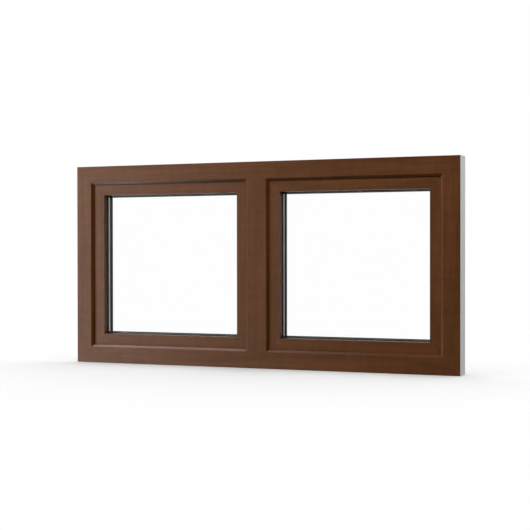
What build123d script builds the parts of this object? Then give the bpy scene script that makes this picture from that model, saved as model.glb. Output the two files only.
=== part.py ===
from build123d import *
import os
from collections import namedtuple

# Two-light PVC window: a welded frame with a mullion, and a glazed sash behind each side of it.
# X runs along the window as seen from outside, Y from the weather side into the room, and Z up.
# The origin is on the underside of the sill, midway along it and midway through the frame.
# Sizes are in millimetres. A section is drawn with its depth along x, measured from the weather
# face of the frame, and its reach towards the middle of the light along y.

# Overall sizes, and the spare length at each end of a bar before its mitre is cut
window_width = 1500
window_height = 750
trim_length = 50

# Frame bars: a flat face, a bevelled lip that covers the sash, and a rebate behind the lip
frame_depth = 70
frame_width = 69
frame_bevel = 8
lip_thickness = 12.5
lip_reach = 24
edge_radius = 1

# Mullion: a deeper lip of the same form on both sides of a stem
mullion_width = 91
mullion_lip_reach = 26

# Sash bars: set back behind the lip, with a flange that laps over the frame on the room side
sash_setback = 16
sash_clearance = 12
sash_width = 54.5
sash_lip_thickness = 20
sash_lip_slope = 1.5
glazing_rebate = 20
flange_reach = 20
flange_thickness = 13
flange_radius = 3
hardware_groove_width = 16
hardware_groove_depth = 11
hardware_groove_setback = 5

# Seals between sash and frame
weather_seal_width = 7
weather_seal_inset = 2
overlap_seal_thickness = 3
overlap_seal_width = 4
overlap_seal_inset = 1.5
seal_taper = 1.2

# Double glazing, with its gaskets and the beads that hold it from the room side
pane_thickness = 4
cavity = 12
glass_edge_clearance = 5
spacer_edge = 6
spacer_height = 12
outer_gasket_thickness = 2
inner_gasket_thickness = 3
inner_gasket_cap = 9
inner_gasket_nose = 2
inner_gasket_taper = 1
gasket_grip = 15
bead_height = 24
bead_crest = 11
bead_foot_height = 11
bead_setback = 2
bead_radius = 1.5

# Handles, on the stile beside the mullion
rosette_width = 30
rosette_height = 66
rosette_thickness = 11
rosette_bevel = 2.5
neck_radius = 8.5
neck_length = 30
lever_length = 112
lever_root_radius = 11
lever_tip_radius = 9.5
lever_thickness = 13
lever_radius = 4
lever_back_bevel = 1.5

# Hinges, on the jamb side, each with a half on the frame and a half on the sash
hinge_inset = 70
knuckle_radius = 7.5
knuckle_height = 32
knuckle_gap = 0.5
knuckle_clearance = 1
leaf_thickness = 3
frame_leaf_reach = 13
sash_leaf_reach = 18
hinge_bevel = 0.8

# Depths and reaches that follow from the sizes above
weather_face = -frame_depth / 2
rebate_floor = frame_width - lip_reach
stem_width = mullion_width - 2 * mullion_lip_reach
flange_face = frame_depth + overlap_seal_thickness
sash_room_face = flange_face + flange_thickness
glazing_floor = sash_width - glazing_rebate
glass_edge = glazing_floor + glass_edge_clearance
lip_back = sash_setback + sash_lip_thickness
outer_pane_face = lip_back + outer_gasket_thickness
spacer_face = outer_pane_face + pane_thickness
inner_pane_face = spacer_face + cavity
inner_gasket_face = inner_pane_face + pane_thickness
bead_face = inner_gasket_face + inner_gasket_thickness
bead_top = glazing_floor + bead_height
bead_room_face = sash_room_face - bead_setback

# Rectangles that the bars are laid around, and the direction in which each side of one runs
Rect = namedtuple("Rect", "left right bottom top")
RUNS = {
    "bottom": Vector(1, 0, 0),
    "top": Vector(-1, 0, 0),
    "left": Vector(0, 0, -1),
    "right": Vector(0, 0, 1),
}
DEPTH = Vector(0, 1, 0)

frame_rect = Rect(-window_width / 2, window_width / 2, 0, window_height)
sash_jamb_edge = window_width / 2 - rebate_floor - sash_clearance
sash_mullion_edge = stem_width / 2 + sash_clearance
sash_sill_edge = rebate_floor + sash_clearance
sash_head_edge = window_height - rebate_floor - sash_clearance
sash_rects = {
    "left": Rect(-sash_jamb_edge, -sash_mullion_edge, sash_sill_edge, sash_head_edge),
    "right": Rect(sash_mullion_edge, sash_jamb_edge, sash_sill_edge, sash_head_edge),
}
HANDLE_SIDES = {"left": "right", "right": "left"}
HANDS = {"left": -1, "right": 1}

os.makedirs("parts", exist_ok=True)


def save(part, node):
    """Label a finished piece and write it under its own name."""
    part.label = node
    export_step(part, f"parts/{node}.step")


def side_length(rect, side):
    """Length of one side of a rectangle, measured along its outer edge."""
    return rect.right - rect.left if side in ("bottom", "top") else rect.top - rect.bottom


def side_plane(rect, side):
    """Plane across the middle of one side: x into the room, y towards the middle of the rectangle."""
    run = RUNS[side]
    inward = run.cross(DEPTH)
    width = rect.right - rect.left
    height = rect.top - rect.bottom
    centre = Vector((rect.left + rect.right) / 2, weather_face, (rect.bottom + rect.top) / 2)
    reach = abs(inward.X) * width / 2 + abs(inward.Z) * height / 2
    return Plane(origin=centre - inward * reach, x_dir=DEPTH, z_dir=run)


def mitred_bar(section, rect, side):
    """Run a section along one side of a rectangle and mitre both ends at its corners."""
    plane = side_plane(rect, side)
    run = RUNS[side]
    half = side_length(rect, side) / 2
    with BuildPart() as bar:
        with BuildSketch(plane):
            add(section)
        extrude(amount=half + trim_length, both=True)
        for end in (-1, 1):
            corner = plane.origin + run * (end * half)
            split(bisect_by=Plane(origin=corner, z_dir=-(run * end + plane.y_dir)), keep=Keep.TOP)
    return bar.part


def mitred_ring(section, rect):
    """Lay a section around a whole rectangle, as a strip that is joined at its corners."""
    strips = [mitred_bar(section, rect, side) for side in RUNS]
    with BuildPart() as ring:
        add(strips)
    return ring.part


# Frame section: face, bevel, lip and rebate
with BuildSketch() as frame_section:
    with BuildLine():
        Polyline(
            (0, 0),
            (0, frame_width - frame_bevel),
            (frame_bevel, frame_width),
            (lip_thickness, frame_width),
            (lip_thickness, rebate_floor),
            (frame_depth, rebate_floor),
            (frame_depth, 0),
            close=True,
        )
    make_face()
    lip_corners = frame_section.vertices().group_by(Axis.Y)[-1]
    face_corners = frame_section.vertices().group_by(Axis.X)[0]
    room_corner = frame_section.vertices().group_by(Axis.X)[-1].sort_by(Axis.Y)[-1]
    fillet([*lip_corners, *face_corners, room_corner], edge_radius)

# Mullion section: a lip on each side of the stem
with BuildSketch() as mullion_section:
    with BuildLine():
        Polyline(
            (0, 0),
            (0, mullion_width / 2 - frame_bevel),
            (frame_bevel, mullion_width / 2),
            (lip_thickness, mullion_width / 2),
            (lip_thickness, stem_width / 2),
            (frame_depth, stem_width / 2),
            (frame_depth, 0),
            close=True,
        )
    make_face()
    mirror(about=Plane.XZ)
    lip_corners = mullion_section.vertices().group_by(Axis.Y)
    face_corners = mullion_section.vertices().group_by(Axis.X)[0]
    fillet([*lip_corners[0], *lip_corners[-1], *face_corners], edge_radius)

# Sash section, measured from the edge that lies in the rebate: weather face, glazing lip, glazing
# rebate, room face, flange and the groove for the locking gear
with BuildSketch() as sash_section:
    with BuildLine():
        Polyline(
            (sash_setback, 0),
            (sash_setback, sash_width - sash_lip_slope),
            (lip_back, sash_width),
            (lip_back, glazing_floor),
            (sash_room_face, glazing_floor),
            (sash_room_face, -flange_reach),
            (flange_face, -flange_reach),
            (flange_face, 0),
            close=True,
        )
    make_face()
    face_corners = sash_section.vertices().group_by(Axis.X)[0]
    flange_corners = sash_section.vertices().group_by(Axis.Y)[0].sort_by(Axis.X)
    fillet(flange_corners[-1], flange_radius)
    fillet([*face_corners, flange_corners[0]], edge_radius)
    with Locations((flange_face - hardware_groove_setback, 0)):
        Rectangle(
            hardware_groove_width,
            hardware_groove_depth,
            align=(Align.MAX, Align.MIN),
            mode=Mode.SUBTRACT,
        )

# Bead section: it stands on the glazing rebate and slopes away from the glass
with BuildSketch() as bead_section:
    with BuildLine():
        Polyline(
            (bead_face, glazing_floor),
            (bead_face, bead_top),
            (bead_face + bead_crest, bead_top),
            (bead_room_face, glazing_floor + bead_foot_height),
            (bead_room_face, glazing_floor),
            close=True,
        )
    make_face()
    crest_corner = bead_section.vertices().group_by(Axis.Y)[-1].sort_by(Axis.X)[-1]
    foot_corner = bead_section.vertices().group_by(Axis.X)[-1].sort_by(Axis.Y)[-1]
    fillet([crest_corner, foot_corner], bead_radius)

# Outer gasket section: gripped between glazing lip and glass, and flush with the lip
with BuildSketch() as outer_gasket_section:
    with Locations((lip_back, sash_width)):
        Rectangle(outer_gasket_thickness, gasket_grip, align=(Align.MIN, Align.MAX))

# Inner gasket section: gripped between glass and bead, with a cap over the crest of the bead
with BuildSketch() as inner_gasket_section:
    with BuildLine():
        Polyline(
            (inner_gasket_face, bead_top - gasket_grip),
            (inner_gasket_face, bead_top + inner_gasket_nose),
            (bead_face + inner_gasket_cap - inner_gasket_taper, bead_top + inner_gasket_nose),
            (bead_face + inner_gasket_cap, bead_top),
            (bead_face, bead_top),
            (bead_face, bead_top - gasket_grip),
            close=True,
        )
    make_face()

# Weather seal section: on the back of the frame's lip, pressed on the face of the sash
with BuildSketch() as weather_seal_section:
    with BuildLine():
        Polyline(
            (lip_thickness, weather_seal_inset),
            (lip_thickness, weather_seal_inset + weather_seal_width),
            (sash_setback, weather_seal_inset + weather_seal_width - seal_taper),
            (sash_setback, weather_seal_inset + seal_taper),
            close=True,
        )
    make_face()

# Overlap seal section: on the flange of the sash, pressed on the room face of the frame
with BuildSketch() as overlap_seal_section:
    with BuildLine():
        Polyline(
            (flange_face, overlap_seal_inset - flange_reach),
            (flange_face, overlap_seal_inset - flange_reach + overlap_seal_width),
            (frame_depth, overlap_seal_inset - flange_reach + overlap_seal_width - seal_taper),
            (frame_depth, overlap_seal_inset - flange_reach + seal_taper),
            close=True,
        )
    make_face()

# Spacer bar section, between the two panes
with BuildSketch() as spacer_section:
    with Locations((spacer_face, glass_edge + spacer_edge)):
        Rectangle(cavity, spacer_height, align=(Align.MIN, Align.MIN))

# Frame bars
FRAME_NODES = {
    "bottom": "frame_sill",
    "top": "frame_head",
    "left": "frame_left_jamb",
    "right": "frame_right_jamb",
}
for side, node in FRAME_NODES.items():
    save(mitred_bar(frame_section.sketch, frame_rect, side), node)

# Mullion, its ends milled to the section of the sill and the head
with BuildPart() as mullion:
    with BuildSketch(Plane(origin=(0, weather_face, window_height / 2), x_dir=DEPTH, z_dir=(0, 0, 1))):
        add(mullion_section.sketch)
    extrude(amount=window_height / 2 - frame_bevel, both=True)
    for side in ("bottom", "top"):
        with BuildSketch(side_plane(frame_rect, side)):
            add(frame_section.sketch)
        extrude(amount=mullion_width, both=True, mode=Mode.SUBTRACT)
save(mullion.part, "mullion")

# Sashes with their beads, glass, gaskets and seals
for hand, rect in sash_rects.items():
    side_names = {
        "bottom": "bottom",
        "top": "top",
        hand: "hinge",
        HANDLE_SIDES[hand]: "handle",
    }
    for side, place in side_names.items():
        bar = "rail" if side in ("bottom", "top") else "stile"
        save(mitred_bar(sash_section.sketch, rect, side), f"{hand}_sash_{place}_{bar}")
        save(mitred_bar(bead_section.sketch, rect, side), f"{hand}_{place}_bead")
    rings = {
        "outer_glazing_gasket": outer_gasket_section,
        "inner_glazing_gasket": inner_gasket_section,
        "weather_seal": weather_seal_section,
        "overlap_seal": overlap_seal_section,
        "glass_spacer": spacer_section,
    }
    for name, section in rings.items():
        save(mitred_ring(section.sketch, rect), f"{hand}_{name}")
    glass_width = rect.right - rect.left - 2 * glass_edge
    glass_height = rect.top - rect.bottom - 2 * glass_edge
    glass_centre = ((rect.left + rect.right) / 2, (rect.bottom + rect.top) / 2)
    for name, depth in {"outer_pane": outer_pane_face, "inner_pane": inner_pane_face}.items():
        pane_centre = (glass_centre[0], weather_face + depth, glass_centre[1])
        with BuildPart() as pane:
            with BuildSketch(Plane(origin=pane_centre, x_dir=(1, 0, 0), z_dir=DEPTH)):
                Rectangle(glass_width, glass_height)
            extrude(amount=pane_thickness)
        save(pane.part, f"{hand}_{name}")

# Handles: an oblong rosette on the stile, and a lever that hangs straight down from its neck
handle_offset = sash_mullion_edge + (glazing_floor - flange_reach) / 2
handle_face = weather_face + sash_room_face
for hand, sign in HANDS.items():
    foot = Vector(sign * handle_offset, handle_face, (sash_sill_edge + sash_head_edge) / 2)
    with BuildPart() as rosette:
        with BuildSketch(Plane(origin=foot, x_dir=(1, 0, 0), z_dir=DEPTH)):
            SlotOverall(rosette_height, rosette_width, rotation=90)
        extrude(amount=rosette_thickness)
        chamfer(rosette.faces().sort_by(Axis.Y)[-1].edges(), rosette_bevel)
    save(rosette.part, f"{hand}_handle_rosette")
    with BuildPart() as lever:
        with BuildSketch(Plane(origin=foot + DEPTH * rosette_thickness, x_dir=(1, 0, 0), z_dir=DEPTH)):
            Circle(neck_radius)
        extrude(amount=neck_length)
        grip = foot + DEPTH * (rosette_thickness + neck_length)
        with BuildSketch(Plane(origin=grip, x_dir=(1, 0, 0), z_dir=DEPTH)):
            Circle(lever_root_radius)
            with Locations((0, lever_length)):
                Circle(lever_tip_radius)
            make_hull()
        extrude(amount=lever_thickness)
        grip_faces = lever.faces().filter_by(Axis.Y).sort_by(Axis.Y)
        chamfer(grip_faces[1].outer_wire().edges(), lever_back_bevel)
        fillet(lever.faces().sort_by(Axis.Y)[-1].edges(), lever_radius)
    save(lever.part, f"{hand}_handle_lever")

# Hinges: the lower half of the knuckle stands on the frame's room face, the upper half on the sash
knuckle_offset = sash_jamb_edge + flange_reach + knuckle_clearance + knuckle_radius
knuckle_depth = sash_room_face + leaf_thickness - knuckle_radius
knuckle_stand = knuckle_depth - frame_depth
frame_leaf_width = knuckle_radius + frame_leaf_reach
sash_leaf_width = knuckle_radius + knuckle_clearance + sash_leaf_reach
hinge_heights = {"lower": sash_sill_edge + hinge_inset, "upper": sash_head_edge - hinge_inset}
for hand, sign in HANDS.items():
    for place, height in hinge_heights.items():
        pin = (sign * knuckle_offset, weather_face, height)
        middle = Plane(origin=pin, x_dir=(1, 0, 0), z_dir=(0, 0, 1))
        with BuildPart() as hinge:
            with BuildSketch(middle.offset(-knuckle_gap / 2)):
                with Locations((0, knuckle_depth)):
                    Circle(knuckle_radius)
                with Locations((0, frame_depth)):
                    Rectangle(2 * knuckle_radius, knuckle_stand, align=(Align.CENTER, Align.MIN))
                with Locations((sign * frame_leaf_width / 2, frame_depth)):
                    Rectangle(frame_leaf_width, leaf_thickness, align=(Align.CENTER, Align.MIN))
            extrude(amount=-knuckle_height)
            with BuildSketch(middle.offset(knuckle_gap / 2)):
                with Locations((0, knuckle_depth)):
                    Circle(knuckle_radius)
                with Locations((-sign * sash_leaf_width / 2, sash_room_face)):
                    Rectangle(sash_leaf_width, leaf_thickness, align=(Align.CENTER, Align.MIN))
            extrude(amount=knuckle_height)
            ends = hinge.faces().filter_by(Axis.Z).group_by(Axis.Z)
            chamfer([*ends[0].edges(), *ends[-1].edges()], hinge_bevel)
        save(hinge.part, f"{hand}_{place}_hinge")
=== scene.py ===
# %% [markdown]
# # A two-light PVC window in walnut foil
#
# The window is a welded frame with a mullion, and a glazed sash behind each side of it. Its weather
# side wears a walnut foil and its room side stays white. The solids come from the CAD part, in
# metres and already in place, so their shapes are right and this lesson leaves them alone. It gives
# them finishes, adds the small pieces that repeat, and sets up the camera and the light.
#
# The box around the solids is kept from the start, since the finishes and a lamp measure from it.
# Pieces of one kind share the end of their names, so a small helper picks them by that.

# %% Load the solids
import math

import bpy
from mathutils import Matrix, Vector


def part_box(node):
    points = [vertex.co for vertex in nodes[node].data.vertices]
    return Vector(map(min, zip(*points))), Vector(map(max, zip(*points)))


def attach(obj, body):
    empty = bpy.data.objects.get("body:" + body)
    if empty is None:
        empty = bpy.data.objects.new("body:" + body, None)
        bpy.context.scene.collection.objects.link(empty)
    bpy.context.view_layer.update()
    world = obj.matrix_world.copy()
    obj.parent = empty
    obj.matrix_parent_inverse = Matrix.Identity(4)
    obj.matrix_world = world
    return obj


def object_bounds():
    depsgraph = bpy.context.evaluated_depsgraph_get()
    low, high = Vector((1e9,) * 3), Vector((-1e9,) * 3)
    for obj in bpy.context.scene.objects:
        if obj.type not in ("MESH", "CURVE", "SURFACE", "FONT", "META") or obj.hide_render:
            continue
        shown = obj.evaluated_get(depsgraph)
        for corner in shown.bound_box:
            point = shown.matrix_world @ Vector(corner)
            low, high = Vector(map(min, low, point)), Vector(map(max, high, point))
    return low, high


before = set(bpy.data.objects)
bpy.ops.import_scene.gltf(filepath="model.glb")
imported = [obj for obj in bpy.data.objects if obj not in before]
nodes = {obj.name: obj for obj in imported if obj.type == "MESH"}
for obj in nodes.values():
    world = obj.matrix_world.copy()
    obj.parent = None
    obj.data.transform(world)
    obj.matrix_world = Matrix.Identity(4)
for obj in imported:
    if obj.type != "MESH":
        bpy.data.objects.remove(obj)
scene = bpy.context.scene
cad_low, cad_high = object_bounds()


def names_ending(*endings):
    """The names of the solids that end in one of the given words."""
    return [name for name in nodes if name.endswith(endings)]


print(f"{len(nodes)} solids in a box from {list(cad_low)} to {list(cad_high)}")

# %% [markdown]
# ## The camera
#
# The picture was taken from the right, a little above the middle of the window and far away, so
# that the bars stay nearly parallel. A camera can be placed by eye, but six corners of the window
# are enough to work out where it stood. A long lens with its picture centred then needs no shift.

# %% Camera
view = bpy.data.cameras.new("camera")
view.sensor_width = 36.0
view.lens = 83.45
camera = bpy.data.objects.new("camera", view)
camera.location = (1.7390, -4.1288, 0.4206)
camera.rotation_euler = [math.radians(turn) for turn in (89.415, 0.06, 22.615)]
scene.collection.objects.link(camera)
scene.camera = camera
scene.view_settings.view_transform = "Standard"
print(f"camera with a {view.lens} mm lens, {camera.location.length:.2f} m from the window's foot")

# %% [markdown]
# ## Arithmetic on nodes
#
# Every finish below is a formula over the place of a point, and formulas read best as formulas. A
# node tree could be wired by hand, node by node, but a small class that wraps one output and knows
# plus, minus and times lets Python write the Math nodes. One method adds any other kind of node.

# %% A wire between nodes
class Wire:
    """One output of a node tree. Arithmetic on it adds Math nodes to that tree."""

    def __init__(self, tree, socket=None):
        self.tree = tree
        self.socket = socket

    def node(self, kind, settings, sockets, output=0):
        """Add a node: first its settings, then the value or the link of each socket."""
        made = self.tree.nodes.new(kind)
        for name, value in settings.items():
            if name == "stops":
                set_stops(made.color_ramp.elements, value)
            else:
                setattr(made, name, value)
        for name, value in sockets.items():
            if isinstance(value, Wire):
                self.tree.links.new(value.socket, made.inputs[name])
            else:
                made.inputs[name].default_value = value
        return Wire(self.tree, made.outputs[output] if made.outputs else None)

    def out(self, name):
        """Another output of the same node."""
        return Wire(self.tree, self.socket.node.outputs[name])

    def math(self, operation, first, second):
        return self.node("ShaderNodeMath", {"operation": operation}, {0: first, 1: second})

    def __add__(self, other):
        return self.math("ADD", self, other)

    def __sub__(self, other):
        return self.math("SUBTRACT", self, other)

    def __rsub__(self, other):
        return self.math("SUBTRACT", other, self)

    def __mul__(self, other):
        return self.math("MULTIPLY", self, other)

    def __abs__(self):
        return self.math("ABSOLUTE", self, 0.0)

    __radd__ = __add__
    __rmul__ = __mul__

    def least(self, other):
        return self.math("MINIMUM", self, other)

    def most(self, other):
        return self.math("MAXIMUM", self, other)

    def rise(self, low, high):
        """A smooth step from 0 at low to 1 at high."""
        smooth = {"interpolation_type": "SMOOTHSTEP"}
        return self.node("ShaderNodeMapRange", smooth, {0: self, 1: low, 2: high})


def set_stops(elements, stops):
    """Give a colour ramp its stops: a place and a colour each."""
    while len(elements) < len(stops):
        elements.new(0.5)
    for element, (position, colour) in zip(elements, stops):
        element.position = position
        element.color = (*colour, 1.0)


print("a wire knows plus, minus, times and abs, least, most and a smooth rise")

# %% [markdown]
# ## Starting and ending a finish
#
# A finish starts as an empty material. It then needs the place of a point in the frame that all the
# pieces share, noise stretched along some direction, and mixes of colours. It ends in a surface
# with a bump. Each finish could spell all of this out, but these steps are the same every time.

# %% Helpers for finishes
def start_finish(name):
    """An empty material, and a wire on its tree."""
    material = bpy.data.materials.new(name)
    material.use_nodes = True
    material.node_tree.nodes.clear()
    return material, Wire(material.node_tree)


def place_of_point(tree):
    """The x, y and z of a point in metres."""
    coordinates = tree.node("ShaderNodeTexCoord", {}, {}, "Object")
    parts = tree.node("ShaderNodeSeparateXYZ", {}, {0: coordinates})
    return [parts.out(axis) for axis in "XYZ"]


def noise(tree, x, y, z, detail=2.0, distortion=0.0):
    """Noise between 0 and 1 at a place that is already stretched to the wanted scale."""
    place = tree.node("ShaderNodeCombineXYZ", {}, {0: x, 1: y, 2: z})
    values = {"Vector": place, "Scale": 1.0, "Detail": detail, "Distortion": distortion}
    return tree.node("ShaderNodeTexNoise", {}, values)


def blend(tree, share, first, second):
    """A mix of two colours."""
    return tree.node("ShaderNodeMix", {"data_type": "RGBA"}, {0: share, 6: first, 7: second}, 2)


def end_finish(tree, bump, surface):
    """A surface with a bump, as the material's output."""
    normal = tree.node("ShaderNodeBump", {}, bump)
    shader = tree.node("ShaderNodeBsdfPrincipled", {}, {**surface, "Normal": normal})
    tree.node("ShaderNodeOutputMaterial", {}, {"Surface": shader})


def wear_finish(material, names):
    """Put a finish on solids."""
    for name in names:
        for slot in nodes[name].material_slots:
            slot.material = material
    print(f"{material.name} on {len(names)} solids")


print("finishes start, end and go on solids")

# %% [markdown]
# ## The studio
#
# The window stands in a white studio: white behind it, a dim room in front of it where the camera
# is, and a little light from above. One lamp for each of these would do, but they change only with
# direction, so the world makes them from the direction of a ray. Rays from the camera and through
# glass see plain white wherever they go. Shiny surfaces see the same white behind the window, and a
# dark room in front of it.

# %% World
WHITE = (1, 1, 1, 1)
FRONT_GLOW = 0.08
SKY_GLOW = 0.20
WALL_GLOW = 0.60
DARK_ROOM = 0.01

world = bpy.data.worlds.new("studio")
scene.world = world
world.use_nodes = True
world.node_tree.nodes.clear()
sky = Wire(world.node_tree)
direction = sky.node("ShaderNodeTexCoord", {}, {}, "Generated")
toward = sky.node("ShaderNodeSeparateXYZ", {}, {0: direction})
away, up = toward.out("Y"), toward.out("Z")
ray = sky.node("ShaderNodeLightPath", {}, {})
glossy = ray.out("Is Glossy Ray")
dim_room = (1 - glossy) * (FRONT_GLOW + SKY_GLOW * up.rise(0.0, 1.0)) + glossy * DARK_ROOM
behind = away.rise(-0.1, 0.5)
ambient = dim_room * (1 - behind) + WALL_GLOW * behind
sees_white = ray.out("Is Camera Ray").most(ray.out("Is Transmission Ray")).most(glossy * behind)
strength = ambient * (1 - sees_white) + sees_white
background = sky.node("ShaderNodeBackground", {}, {"Strength": strength, "Color": WHITE})
sky.node("ShaderNodeOutputWorld", {}, {"Surface": background})
world.cycles.sampling_method = "NONE"
print("a world of", len(world.node_tree.nodes), "nodes")

# %% [markdown]
# Lamps do the rest. The key is a long soft strip in front, high up and mostly to the left: it gives
# the bars their light and the lips of the rails their soft shadow. Sheets of light at the left and
# in front give the foil its sheen: one for the faces, a high one for the bevels that look up, a low
# one for those that look down, and a weak one ahead. A strip at the right lights the white end of
# the frame, and a lamp in the back lights the room side.
#
# One lamp could light everything, but each of these has one task, so each is told which pieces
# receive its light or throw a shadow in it. The upright lips at the left and in the middle throw
# none from the key and the sheets. The head is left out of the high sheet, so that its white top
# doesn't mirror it. The sheets make nothing but gloss, and the others stay out of the gloss.

# %% Helpers for lamps
def soft_box(name, size, watts, location, aim, receivers, blockers=None, glossy=False):
    """Hang a rectangular lamp, point it at a place, and let it light the given pieces alone."""
    light = bpy.data.lights.new(name, "AREA")
    light.shape = "RECTANGLE"
    light.size, light.size_y = size
    light.energy = watts
    lamp = bpy.data.objects.new(name, light)
    lamp.location = location
    beam = Vector(aim) - Vector(location)
    lamp.rotation_euler = beam.to_track_quat("-Z", "Y").to_euler()
    lamp.visible_glossy = glossy
    lamp.visible_diffuse = not glossy
    scene.collection.objects.link(lamp)
    lamp.light_linking.receiver_collection = receivers
    lamp.light_linking.blocker_collection = blockers
    print(f"{name} at {tuple(location)}")


def group(name, members):
    """A collection that lamps can be linked to."""
    made = bpy.data.collections.new(name)
    for member in members:
        made.objects.link(member)
    return made


print("lamps hang, pieces form groups")

# %% Lamps
window_parts = group("window_parts", nodes.values())
clear_or_metal = names_ending("_pane", "_spacer")
foil_names = [name for name in nodes if name not in clear_or_metal]
foil_parts = group("foil_parts", [nodes[name] for name in foil_names])
below_head = group("below_head", [nodes[name] for name in foil_names if name != "frame_head"])
upright_lips = ("frame_left_jamb", "mullion")
low_lips = group("low_lips", [nodes[name] for name in nodes if name not in upright_lips])

key_place, key_aim = (-0.9, -3.6, 2.3), (1.0, 0, 0.9)
soft_box("key", (6.5, 1.2), 205.0, key_place, key_aim, window_parts, low_lips)
to_right, to_back = Vector((1, 0, 0)), Vector((0, 1, 0))
# Each sheet has its size in metres, its watts, its centre, the way it faces and what it lights.
sheets = {
    "face_sheet": ((3.8, 4.0), 364.0, Vector((-2.6, -2.4, -0.2)), to_right, foil_parts),
    "high_sheet": ((1.9, 4.2), 500.0, Vector((-2.6, -0.45, 4.1)), to_right, below_head),
    "low_sheet": ((0.9, 0.9), 33.0, Vector((-1.3, -0.1, -0.75)), to_right, foil_parts),
    "front_sheet": ((5.0, 4.0), 29.0, Vector((-3.0, -6.0, 0.4)), to_back, foil_parts),
}
for name, (size, watts, centre, facing, receivers) in sheets.items():
    soft_box(name, size, watts, centre, centre + facing, receivers, low_lips, glossy=True)
white_end = (0.75, 0.0, 0.6)
soft_box("side_strip", (0.4, 0.6), 6.0, (1.9, 0.2, 1.6), white_end, window_parts)
middle = (cad_low + cad_high) / 2
soft_box("back", (2.0, 2.0), 75.0, (-2.5, 3.5, 2.2), middle, window_parts)

# %% [markdown]
# The floor is white paper without an edge in sight. A lamp hangs over it, so that the foot of the
# window has its soft shadow there. A few steps away the paper runs out into the white of the
# background. To the window itself the floor is a dim, even glow from below, as if the studio were
# dark in front of it.

# %% Floor
FLOOR_HALF = 20.0
floor_mesh = bpy.data.meshes.new("floor")
floor_signs = [(-1, -1), (1, -1), (1, 1), (-1, 1)]
floor_corners = [(x * FLOOR_HALF, y * FLOOR_HALF, 0) for x, y in floor_signs]
floor_mesh.from_pydata(floor_corners, [], [(0, 1, 2, 3)])
floor = bpy.data.objects.new("floor", floor_mesh)
floor.visible_glossy = False
floor.visible_shadow = False
scene.collection.objects.link(floor)
floor_only = group("floor_only", [floor])
soft_box("over_the_floor", (12.0, 12.0), 600.0, (0, 0, 2.8), (0, 0, 0), floor_only)
print(f"a floor {2 * FLOOR_HALF:.0f} m wide")

# %% Paper on the floor
PAPER_GREY = (0.64, 0.64, 0.64, 1)
PAPER_LIFT = 0.07
GLOW_FROM_BELOW = 0.10
RUN_OUT_FROM, RUN_OUT_TO = 1.0, 2.5

paper, ground = start_finish("white_paper")


def shine(strength):
    """White light that the paper gives off by itself."""
    return ground.node("ShaderNodeEmission", {}, {"Color": WHITE, "Strength": strength})


seen = ground.node("ShaderNodeLightPath", {}, {}, "Is Camera Ray")
spot = ground.node("ShaderNodeTexCoord", {}, {}, "Object")
distance = ground.node("ShaderNodeVectorMath", {"operation": "LENGTH"}, {0: spot}, "Value")
matt = ground.node("ShaderNodeBsdfDiffuse", {}, {"Color": PAPER_GREY})
near = ground.node("ShaderNodeAddShader", {}, {0: matt, 1: shine(PAPER_LIFT)})
far = distance.rise(RUN_OUT_FROM, RUN_OUT_TO)
run_out = ground.node("ShaderNodeMixShader", {}, {0: far, 1: near, 2: shine(1.0)})
lit = ground.node("ShaderNodeMixShader", {}, {0: seen, 1: shine(GLOW_FROM_BELOW), 2: run_out})
ground.node("ShaderNodeOutputMaterial", {}, {"Surface": lit})
floor_mesh.materials.append(paper)
print("paper of", len(paper.node_tree.nodes), "nodes")

# %% [markdown]
# ## Walnut foil on white PVC
#
# The bars are white PVC, extruded and welded at the corners. A printed foil is glued over the faces
# that the weather sees: it wraps the flat face, the bevel and the edge of the lip, and stops there.
# The print shows walnut with its grain along each bar, and it is embossed with fine pores. A
# picture of wood would repeat and stretch, so the grain is worked out instead: broad bands, flowing
# figure, fibres and pores, each a noise stretched along the bar, and here and there a knot that the
# grain bends around. Where the foil ends, a mask gives way to white, and at the mitres a fine line
# shows the weld.

# %% Grain
WALNUT_TONES = [
    (0.20, (0.056, 0.0165, 0.0030)),
    (0.42, (0.087, 0.0285, 0.0060)),
    (0.60, (0.112, 0.0380, 0.0090)),
    (0.85, (0.150, 0.0570, 0.0150)),
]
PORE_BROWN = (0.030, 0.010, 0.003, 1)
KNOT_BROWN = (0.045, 0.026, 0.010, 1)


def walnut(tree, along, side, depth, knots):
    """The colour of the walnut print and the height of its pores, for a bar along one axis."""
    sway = noise(tree, along * 3.0, side * 14.0, depth * 14.0) - 0.5
    # Without a knot both stay zero.
    eye, aside = 0.0 * along, 0.0 * along
    for knot_along, knot_side in knots:
        reach = abs(along - knot_along) * 0.5 + abs(side - knot_side)
        eye = eye.most(1 - reach.rise(0.001, 0.012))
        aside = aside + (side - knot_side) * (1 - reach.rise(0.004, 0.030))
    bent = side + sway * 0.012 - aside * 0.7
    bands = noise(tree, along * 2.2, bent * 38.0, depth * 38.0, 3.0)
    figure = noise(tree, along * 7.0, bent * 150.0, depth * 150.0, 3.0, 0.6)
    ripple = noise(tree, along * 46.0, side * 16.0, depth * 16.0, 1.0)
    fibres = noise(tree, along * 22.0, bent * 1100.0, depth * 1100.0, 2.0)
    pores = noise(tree, along * 90.0, bent * 2400.0, depth * 2400.0, 1.0).rise(0.60, 0.72)
    tone = bands * 0.55 + figure * 0.40 + ripple * 0.22 + fibres * 0.16 - 0.165
    colour = tree.node("ShaderNodeValToRGB", {"stops": WALNUT_TONES}, {0: tone})
    dark = blend(tree, pores * 0.35, colour, PORE_BROWN)
    knotty = blend(tree, eye * 0.55, dark, KNOT_BROWN)
    return knotty, fibres * 0.4 - pores


print("walnut from six noises")

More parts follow.
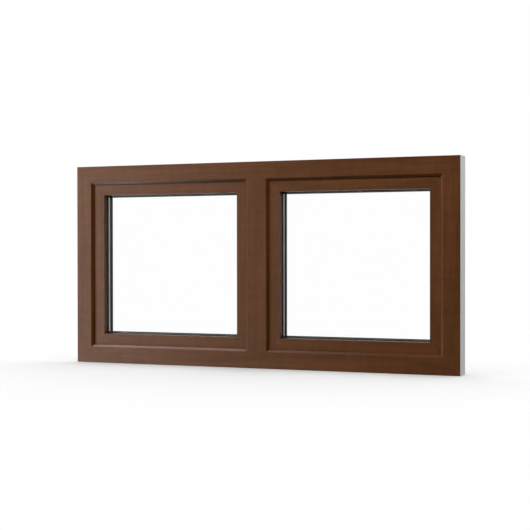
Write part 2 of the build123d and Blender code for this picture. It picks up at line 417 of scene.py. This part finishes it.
# %% Foil over PVC
WHITE_PVC = (0.86, 0.855, 0.815, 1)
WORN_PVC = (0.70, 0.69, 0.64, 1)
WELD_BROWN = (0.020, 0.012, 0.008, 1)
WELD_HALF_WIDTH = 0.0004
FOIL_INSET = (0.0002, 0.0006)
FACE_DEPTH = (0.0006, 0.0010)
FOIL_EDGE = 0.0002
BAR_GLOSS = 0.12


def foil_over_pvc(name, runs_up, foil_end, weld_side, knots=()):
    """A bar with foil on the weather side of foil_end. weld_side gives the welds from x and z."""
    material, tree = start_finish(name)
    x, y, z = place_of_point(tree)
    wood, pores = walnut(tree, z, x, y, knots) if runs_up else walnut(tree, x, z, y, knots)
    # Foil covers the whole face, and behind it stays off the outer sides of the frame.
    inset = (cad_high[0] - abs(x)).least(z.least(cad_high[2] - z))
    face_end = [cad_low[1] + depth for depth in FACE_DEPTH]
    wraps = inset.rise(*FOIL_INSET).most(1 - y.rise(*face_end))
    foil = wraps * (1 - y.rise(foil_end, foil_end + FOIL_EDGE))
    cloud = noise(tree, x * 9.0, y * 9.0, z * 9.0)
    white = blend(tree, cloud * 0.06, WHITE_PVC, WORN_PVC)
    weld = 1 - abs(weld_side(x, z)).rise(WELD_HALF_WIDTH * 0.5, WELD_HALF_WIDTH * 1.5)
    skin = blend(tree, foil, white, wood)
    colour = blend(tree, weld * 0.35, skin, WELD_BROWN)
    satin = noise(tree, x * 700.0, y * 700.0, z * 700.0)
    height = foil * pores + (1 - foil) * satin * 0.25 - weld * 1.5
    bump = {"Strength": 0.25, "Distance": 0.00015, "Height": height}
    rough = 0.28 + foil * 0.02 + cloud * 0.06
    surface = {"Base Color": colour, "Roughness": rough, "Specular IOR Level": BAR_GLOSS}
    end_finish(tree, bump, surface)
    return material


FRAME_FOIL_END = -0.0222
SASH_FOIL_END = 0.0012
print(f"foil ends {1000 * (FRAME_FOIL_END - cad_low[1]):.1f} mm behind the face of the frame")

# %% [markdown]
# The same finish serves the frame, the mullion and the sashes. They differ in the way the grain
# runs, in how far back the foil reaches, and in where they were welded, which a small function of x
# and z says for each: it is zero on the weld.

# %% Where the bars were welded
DIAGONAL = math.sqrt(0.5)
MULLION_FACE_HALF = 0.314
sash_low, sash_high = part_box("right_sash_top_rail")
sash_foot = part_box("right_sash_bottom_rail")[0][2]


def frame_welds(x, z):
    """Zero on the diagonals through the corners of the frame."""
    return ((cad_high[0] - abs(x)) - z.least(cad_high[2] - z)) * DIAGONAL


def sash_welds(x, z):
    """Zero on the diagonals through the corners of either sash."""
    reach = (abs(x) - sash_low[0]).least(sash_high[0] - abs(x))
    return (reach - (z - sash_foot).least(sash_high[2] - z)) * DIAGONAL


def mullion_joints(x, z):
    """Zero where the face of the mullion butts against the sill and the head."""
    half_way = (cad_low[2] + cad_high[2]) / 2
    return abs(z - half_way) - MULLION_FACE_HALF


print(f"sashes from {sash_foot:.3f} to {sash_high[2]:.3f} m up")

# %% Frame, mullion and sash bars
rails = foil_over_pvc("walnut_frame_rail", False, FRAME_FOIL_END, frame_welds, [(0.61, 0.038)])
jambs = foil_over_pvc("walnut_frame_jamb", True, FRAME_FOIL_END, frame_welds, [(0.218, 0.704)])
post = foil_over_pvc("walnut_mullion", True, FRAME_FOIL_END, mullion_joints, [(0.600, -0.0095)])
sash_rails = foil_over_pvc("walnut_sash_rail", False, SASH_FOIL_END, sash_welds)
sash_stiles = foil_over_pvc("walnut_sash_stile", True, SASH_FOIL_END, sash_welds)
wear_finish(rails, ["frame_sill", "frame_head"])
wear_finish(jambs, ["frame_left_jamb", "frame_right_jamb"])
wear_finish(post, ["mullion"])
wear_finish(sash_rails, names_ending("_rail"))
wear_finish(sash_stiles, names_ending("_stile"))

# %% [markdown]
# ## White beads and fittings
#
# The glazing beads are the same white PVC without foil. Handles and hinges are cast metal under a
# white powder coat, which is a touch greyer and has the faint orange peel of paint that has melted
# and set. Both could share one material, but their gloss differs, and that is what tells plastic
# from paint.

# %% White plastic and powder coat
GREYED_WHITE = (0.66, 0.65, 0.61, 1)
POWDER_WHITE = (0.80, 0.80, 0.78, 1)


def white_finish(name, colour, grain, roughness, gloss):
    """A white surface with a faint unevenness of the given grain, in bumps per metre."""
    material, tree = start_finish(name)
    x, y, z = place_of_point(tree)
    cloud = noise(tree, x * 11.0, y * 11.0, z * 11.0)
    peel = noise(tree, x * grain, y * grain, z * grain)
    shade = blend(tree, cloud * 0.08, colour, GREYED_WHITE)
    bump = {"Strength": 0.2, "Distance": 0.0001, "Height": peel}
    rough = roughness + cloud * 0.08
    surface = {"Base Color": shade, "Roughness": rough, "Specular IOR Level": gloss}
    end_finish(tree, bump, surface)
    return material


bead_white = white_finish("white_bead", WHITE_PVC, 700.0, 0.28, 0.4)
powder_coat = white_finish("white_powder_coat", POWDER_WHITE, 1500.0, 0.36, 0.5)
wear_finish(bead_white, names_ending("_bead"))
wear_finish(powder_coat, names_ending("_rosette", "_lever", "_hinge"))

# %% [markdown]
# ## Rubber and spacer
#
# Soft black strips seal every joint, on both sides of the glass and between sash and frame. The bar
# that keeps the two panes apart is dull grey aluminium, and shows as a thin grey line around the
# glass. Rubber is matt, and both gather a film that comes and goes, so colour and roughness drift a
# little along a strip. One function with a share of metal makes both, and small metal pieces later.

# %% Strips
def strip_finish(name, colour, dust_and_shade_tone, roughness, metal=0.0):
    """A strip whose colour drifts towards a second tone: dust on rubber and metal, a paler painted
    shade on the hole plugs.
    """
    material, tree = start_finish(name)
    x, y, z = place_of_point(tree)
    dust_and_shade_drift = noise(tree, x * 24.0, y * 60.0, z * 24.0, 3.0)
    skin = noise(tree, x * 2600.0, y * 2600.0, z * 2600.0)
    shade = blend(tree, dust_and_shade_drift.rise(0.35, 0.75), (*colour, 1), (*dust_and_shade_tone, 1))
    bump = {"Strength": 0.3, "Distance": 0.00008, "Height": skin}
    rough = roughness + dust_and_shade_drift * 0.15
    surface = {"Base Color": shade, "Roughness": rough, "Specular IOR Level": 0.3}
    end_finish(tree, bump, {**surface, "Metallic": metal})
    return material


black, dusty_black = (0.034, 0.036, 0.036), (0.050, 0.052, 0.051)
grey, dusty_grey = (0.32, 0.315, 0.305), (0.27, 0.265, 0.26)
black_rubber = strip_finish("black_rubber", black, dusty_black, 0.5)
aluminium = strip_finish("aluminium_spacer", grey, dusty_grey, 0.25, metal=1.0)
wear_finish(black_rubber, names_ending("_gasket", "_seal"))
wear_finish(aluminium, names_ending("glass_spacer"))

# %% [markdown]
# ## Glass
#
# Each sash holds two clear panes. A glass shader would bend light twice per pane and block the
# lamps, for a result that is almost the same as looking straight through. So the pane is
# transparent, with a clear mirror on top: hardly any seen straight on, and more and more towards
# the edge of sight, with the fifth power of the slant as on real glass. A Fresnel node would do
# that too, but it turns into a full mirror where a ray leaves the pane, because nothing here bends
# the ray. The faint green of float glass shows only where light has gone through all four faces.

# %% Panes
SEEN_STRAIGHT_ON = 0.0025
SEEN_EDGE_ON = 0.7
FAINT_GREEN = (0.999, 1.0, 0.9995, 1)

clear_glass, glass = start_finish("clear_glass")
slant = glass.node("ShaderNodeLayerWeight", {}, {"Blend": 0.5}, "Facing")
mirror_share = SEEN_STRAIGHT_ON + SEEN_EDGE_ON * slant * slant * slant * slant * slant
through = glass.node("ShaderNodeBsdfTransparent", {}, {"Color": FAINT_GREEN})
mirror = glass.node("ShaderNodeBsdfGlossy", {}, {"Color": WHITE, "Roughness": 0.0})
pane = glass.node("ShaderNodeMixShader", {}, {0: mirror_share, 1: through, 2: mirror})
glass.node("ShaderNodeOutputMaterial", {}, {"Surface": pane})
wear_finish(clear_glass, names_ending("_pane"))

# %% [markdown]
# ## Pieces that repeat
#
# Two small things repeat on this window: the holes in the spacer bars and the screws in the hinges.
# Each could be copied by a loop, but a tree of Geometry Nodes keeps the shape, the spacing and the
# finish in one place, with its sizes as named inputs. A tree grows on a guide mesh: a line to
# follow, or points to stand on. The result is then kept as a plain mesh that moves with the window.

# %% Helpers for trees
def start_tree(name, sizes):
    """A tree with a guide and named sizes as its inputs, and a wire for each of them."""
    tree = bpy.data.node_groups.new(name, "GeometryNodeTree")
    tree.interface.new_socket("Geometry", in_out="OUTPUT", socket_type="NodeSocketGeometry")
    tree.interface.new_socket("Guide", in_out="INPUT", socket_type="NodeSocketGeometry")
    for size in sizes:
        tree.interface.new_socket(size, in_out="INPUT", socket_type="NodeSocketFloat")
    guide = Wire(tree).node("NodeGroupInput", {}, {}, "Guide")
    return tree, guide, [guide.out(size) for size in sizes]


def close_tree(guide, copies, material):
    """End a tree: set copies on points, make real meshes of them and give them a finish."""
    placed = guide.node("GeometryNodeInstanceOnPoints", {}, copies)
    real = guide.node("GeometryNodeRealizeInstances", {}, {"Geometry": placed})
    dressed = guide.node("GeometryNodeSetMaterial", {}, {"Geometry": real, "Material": material})
    guide.node("NodeGroupOutput", {}, {"Geometry": dressed})


def grow(name, places, edges, tree, sizes):
    """Grow a tree on points or edges, and keep the result as a plain mesh."""
    guide = bpy.data.meshes.new(name)
    guide.from_pydata(places, edges, [])
    plant = bpy.data.objects.new(name, guide)
    scene.collection.objects.link(plant)
    modifier = plant.modifiers.new("grow", "NODES")
    modifier.node_group = tree
    for socket in tree.interface.items_tree:
        if socket.name in sizes:
            modifier[socket.identifier] = sizes[socket.name]
    grown = plant.evaluated_get(bpy.context.evaluated_depsgraph_get())
    mesh = bpy.data.meshes.new_from_object(grown)
    plant.modifiers.remove(modifier)
    plant.data = mesh
    window_parts.objects.link(plant)
    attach(plant, "root")
    print(f"{name}: {len(mesh.polygons)} faces")


print("trees start, close and grow")

# %% [markdown]
# The spacer bar is hollow and filled with a drying agent. A row of tiny holes along the middle of
# the face between the panes lets the air in there reach it. The guide is a line around that face. A
# dark plug on each hole, a painted shade for the hollow inside it, shows it without a cut in the
# solid: it turns its axis to the middle of the pane, across the line and across the depth of the
# window.

# %% A tree of holes
HOLE_SIZES = {"Pitch": 0.006, "Radius": 0.0006, "Rise": 0.0001}
# Painted shade: the plugs are nearly black where the hole lies in shade, and drift to a slightly
# paler shade.
dark, paler_hole_shade = (0.020, 0.020, 0.021), (0.034, 0.034, 0.033)
hole_shadow = strip_finish("hole_shadow", dark, paler_hole_shade, 0.6)
hole_tree, ring, (pitch, hole_radius, rise) = start_tree("spacer_holes", HOLE_SIZES)
line = ring.node("GeometryNodeMeshToCurve", {}, {"Mesh": ring})
by_length = {"mode": "LENGTH"}
spots = ring.node("GeometryNodeCurveToPoints", by_length, {"Curve": line, "Length": pitch})
crossing = {"operation": "CROSS_PRODUCT"}
inward = ring.node("ShaderNodeVectorMath", crossing, {0: spots.out("Tangent"), 1: (0, 1, 0)})
turn = ring.node("FunctionNodeAlignRotationToVector", {"axis": "Z"}, {"Vector": inward})
round_plug = {"Vertices": 8, "Radius": hole_radius, "Depth": 2 * rise}
plug = ring.node("GeometryNodeMeshCylinder", {}, round_plug)
close_tree(ring, {"Points": spots, "Instance": plug, "Rotation": turn}, hole_shadow)
print("a tree of", len(hole_tree.nodes), "nodes")

# %% Holes in the spacer bars
def inner_edges(name, axis):
    """The two inner edges of a ring along one axis, from the corners of its solid."""
    places = sorted({round(corner.co[axis], 5) for corner in nodes[name].data.vertices})
    return places[1], places[-2]


for hand in ("left", "right"):
    bar = f"{hand}_glass_spacer"
    x_low, x_high = inner_edges(bar, 0)
    z_low, z_high = inner_edges(bar, 2)
    bar_low, bar_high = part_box(bar)
    depth = (bar_low[1] + bar_high[1]) / 2
    corners = [(x_low, z_low), (x_high, z_low), (x_high, z_high), (x_low, z_high)]
    around = [(x, depth, z) for x, z in corners]
    sides = [(0, 1), (1, 2), (2, 3), (3, 0)]
    grow(f"{hand}_spacer_holes", around, sides, hole_tree, HOLE_SIZES)

# %% [markdown]
# Two screws hold each leaf of a hinge. Their heads are flat cones of bright zinc with a cross cut
# into them, which two thin boxes take away from the cone. The guide is the set of places where they
# stand, and every copy turns its axis into the room.

# %% A tree of screws
SCREW_SIZES = {"Radius": 0.0028, "Height": 0.0011, "Slit": 0.0007}
TOP_SHARE = 0.7
bright, dusty_bright = (0.66, 0.66, 0.64), (0.55, 0.55, 0.53)
zinc = strip_finish("zinc_screw", bright, dusty_bright, 0.3, metal=1.0)
screw_tree, stands, (radius, height, slit) = start_tree("hinge_screws", SCREW_SIZES)
radii = {"Radius Top": radius * TOP_SHARE, "Radius Bottom": radius}
head = stands.node("GeometryNodeMeshCone", {}, {"Vertices": 24, **radii, "Depth": height})
lift = stands.node("ShaderNodeCombineXYZ", {}, {"Z": height})
less = {"operation": "DIFFERENCE"}
for long_way, short_way in ((radius, slit), (slit, radius)):
    lengths = {"X": long_way, "Y": short_way, "Z": height}
    box_size = stands.node("ShaderNodeCombineXYZ", {}, lengths)
    box = stands.node("GeometryNodeMeshCube", {}, {"Size": box_size})
    cutter = stands.node("GeometryNodeTransform", {}, {"Geometry": box, "Translation": lift})
    head = stands.node("GeometryNodeMeshBoolean", less, {"Mesh 1": head, "Mesh 2": cutter})
into_room = (math.radians(-90), 0, 0)
close_tree(stands, {"Points": stands, "Instance": head, "Rotation": into_room}, zinc)
print("a tree of", len(screw_tree.nodes), "nodes")

# %% Screws in the hinges
LEAF_THICKNESS = 0.003
FRAME_LEAF_MIDDLE = 0.0065
SASH_LEAF_MIDDLE = 0.009
SCREW_INSETS = (0.008, 0.024)
for name in names_ending("_hinge"):
    hinge_low, hinge_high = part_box(name)
    frame_x, sash_x = hinge_high[0] - FRAME_LEAF_MIDDLE, hinge_low[0] + SASH_LEAF_MIDDLE
    if name.startswith("left"):
        frame_x, sash_x = hinge_low[0] + FRAME_LEAF_MIDDLE, hinge_high[0] - SASH_LEAF_MIDDLE
    frame_y, sash_y = hinge_low[1] + LEAF_THICKNESS, hinge_high[1]
    places = [(frame_x, frame_y, hinge_low[2] + inset) for inset in SCREW_INSETS]
    places += [(sash_x, sash_y, hinge_high[2] - inset) for inset in SCREW_INSETS]
    grow(f"{name}_screws", places, [], screw_tree, SCREW_SIZES)
